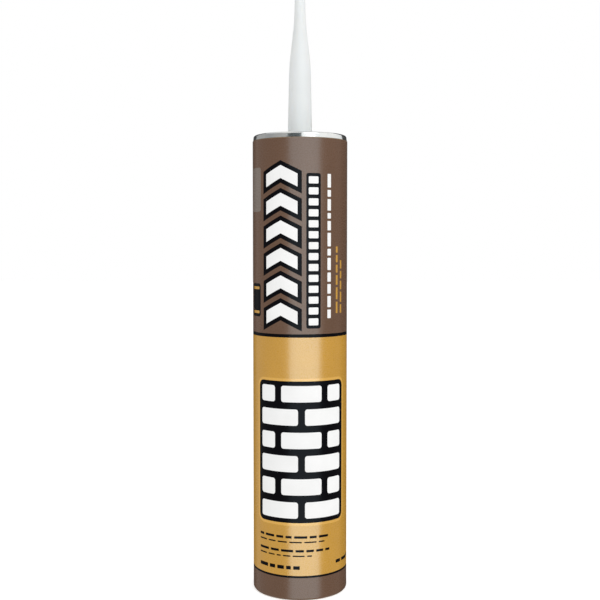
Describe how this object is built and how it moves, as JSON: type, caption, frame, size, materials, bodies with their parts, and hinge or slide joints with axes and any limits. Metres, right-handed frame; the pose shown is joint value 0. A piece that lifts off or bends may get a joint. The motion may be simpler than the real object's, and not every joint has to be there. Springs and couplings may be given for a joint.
{
  "type": "adhesive cartridge",
  "caption": "Upright paperboard gun cartridge with a printed label, a crimped metal end, a closed tapered nozzle and a plunger that slides up its open foot.",
  "frame": {"origin": "centre of the rolled foot, on the surface the cartridge stands on", "axes": "+Z along the tube towards the nozzle's tip, the front of the label faces -Y"},
  "size_m": [0.064, 0.0641, 0.4],
  "materials": {
    "paperboard": "matte wound paper",
    "label_paper": "printed, satin varnish",
    "tinplate": "bright tinplate",
    "nozzle_plastic": "translucent white polyethylene",
    "seal_foil": "bright foil",
    "adhesive_paste": "smooth paste",
    "plunger_plastic": "satin white polyethylene"
  },
  "bodies": {
    "cartridge": {"paper_tube": "paperboard", "label_wrap": "label_paper", "metal_end": "tinplate", "nozzle": "nozzle_plastic", "nozzle_seal": "seal_foil", "adhesive_fill": "adhesive_paste"},
    "plunger": {"plunger": "plunger_plastic"}
  },
  "joints": [
    {"name": "plunger_slide", "type": "slide", "parent": "cartridge", "child": "plunger", "axis": [0, 0, 1], "range_m": [0, 0.282], "deforming": ["adhesive_fill"]}
  ]
}
